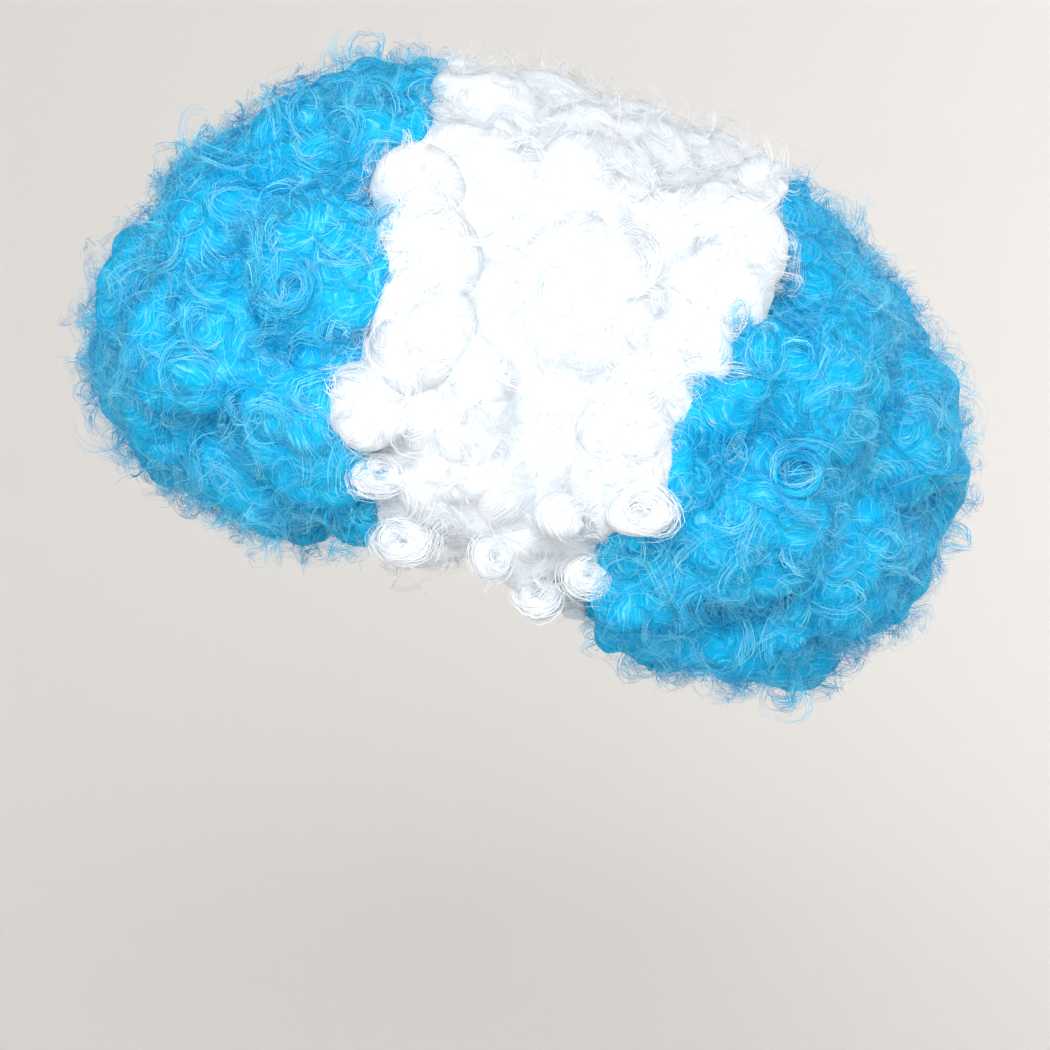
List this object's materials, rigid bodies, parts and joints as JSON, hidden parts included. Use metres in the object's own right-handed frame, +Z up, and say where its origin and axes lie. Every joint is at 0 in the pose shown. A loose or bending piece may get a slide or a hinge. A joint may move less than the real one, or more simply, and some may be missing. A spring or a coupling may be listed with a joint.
{
  "type": "afro wig",
  "caption": "Round curly wig with blue hair in front, white over the crown and blue behind, on a hollow stretch cap whose elastic edge grips the head.",
  "frame": {"origin": "middle of the head opening, in the plane of the elastic's lower edge", "axes": "+Z up as the wig is worn, -Y the way the wearer looks, +X towards the wearer's left ear"},
  "size_m": [0.3108, 0.3526, 0.2509],
  "materials": {
    "cap_net": "stretch net",
    "rim_elastic": "woven elastic",
    "hair_blue": "curled synthetic fibre",
    "hair_white": "curled synthetic fibre"
  },
  "bodies": {
    "root": {"cap_net": "cap_net", "rim_elastic": "rim_elastic", "hair_front": "hair_blue", "hair_crown": "hair_white", "hair_back": "hair_blue"}
  },
  "joints": []
}
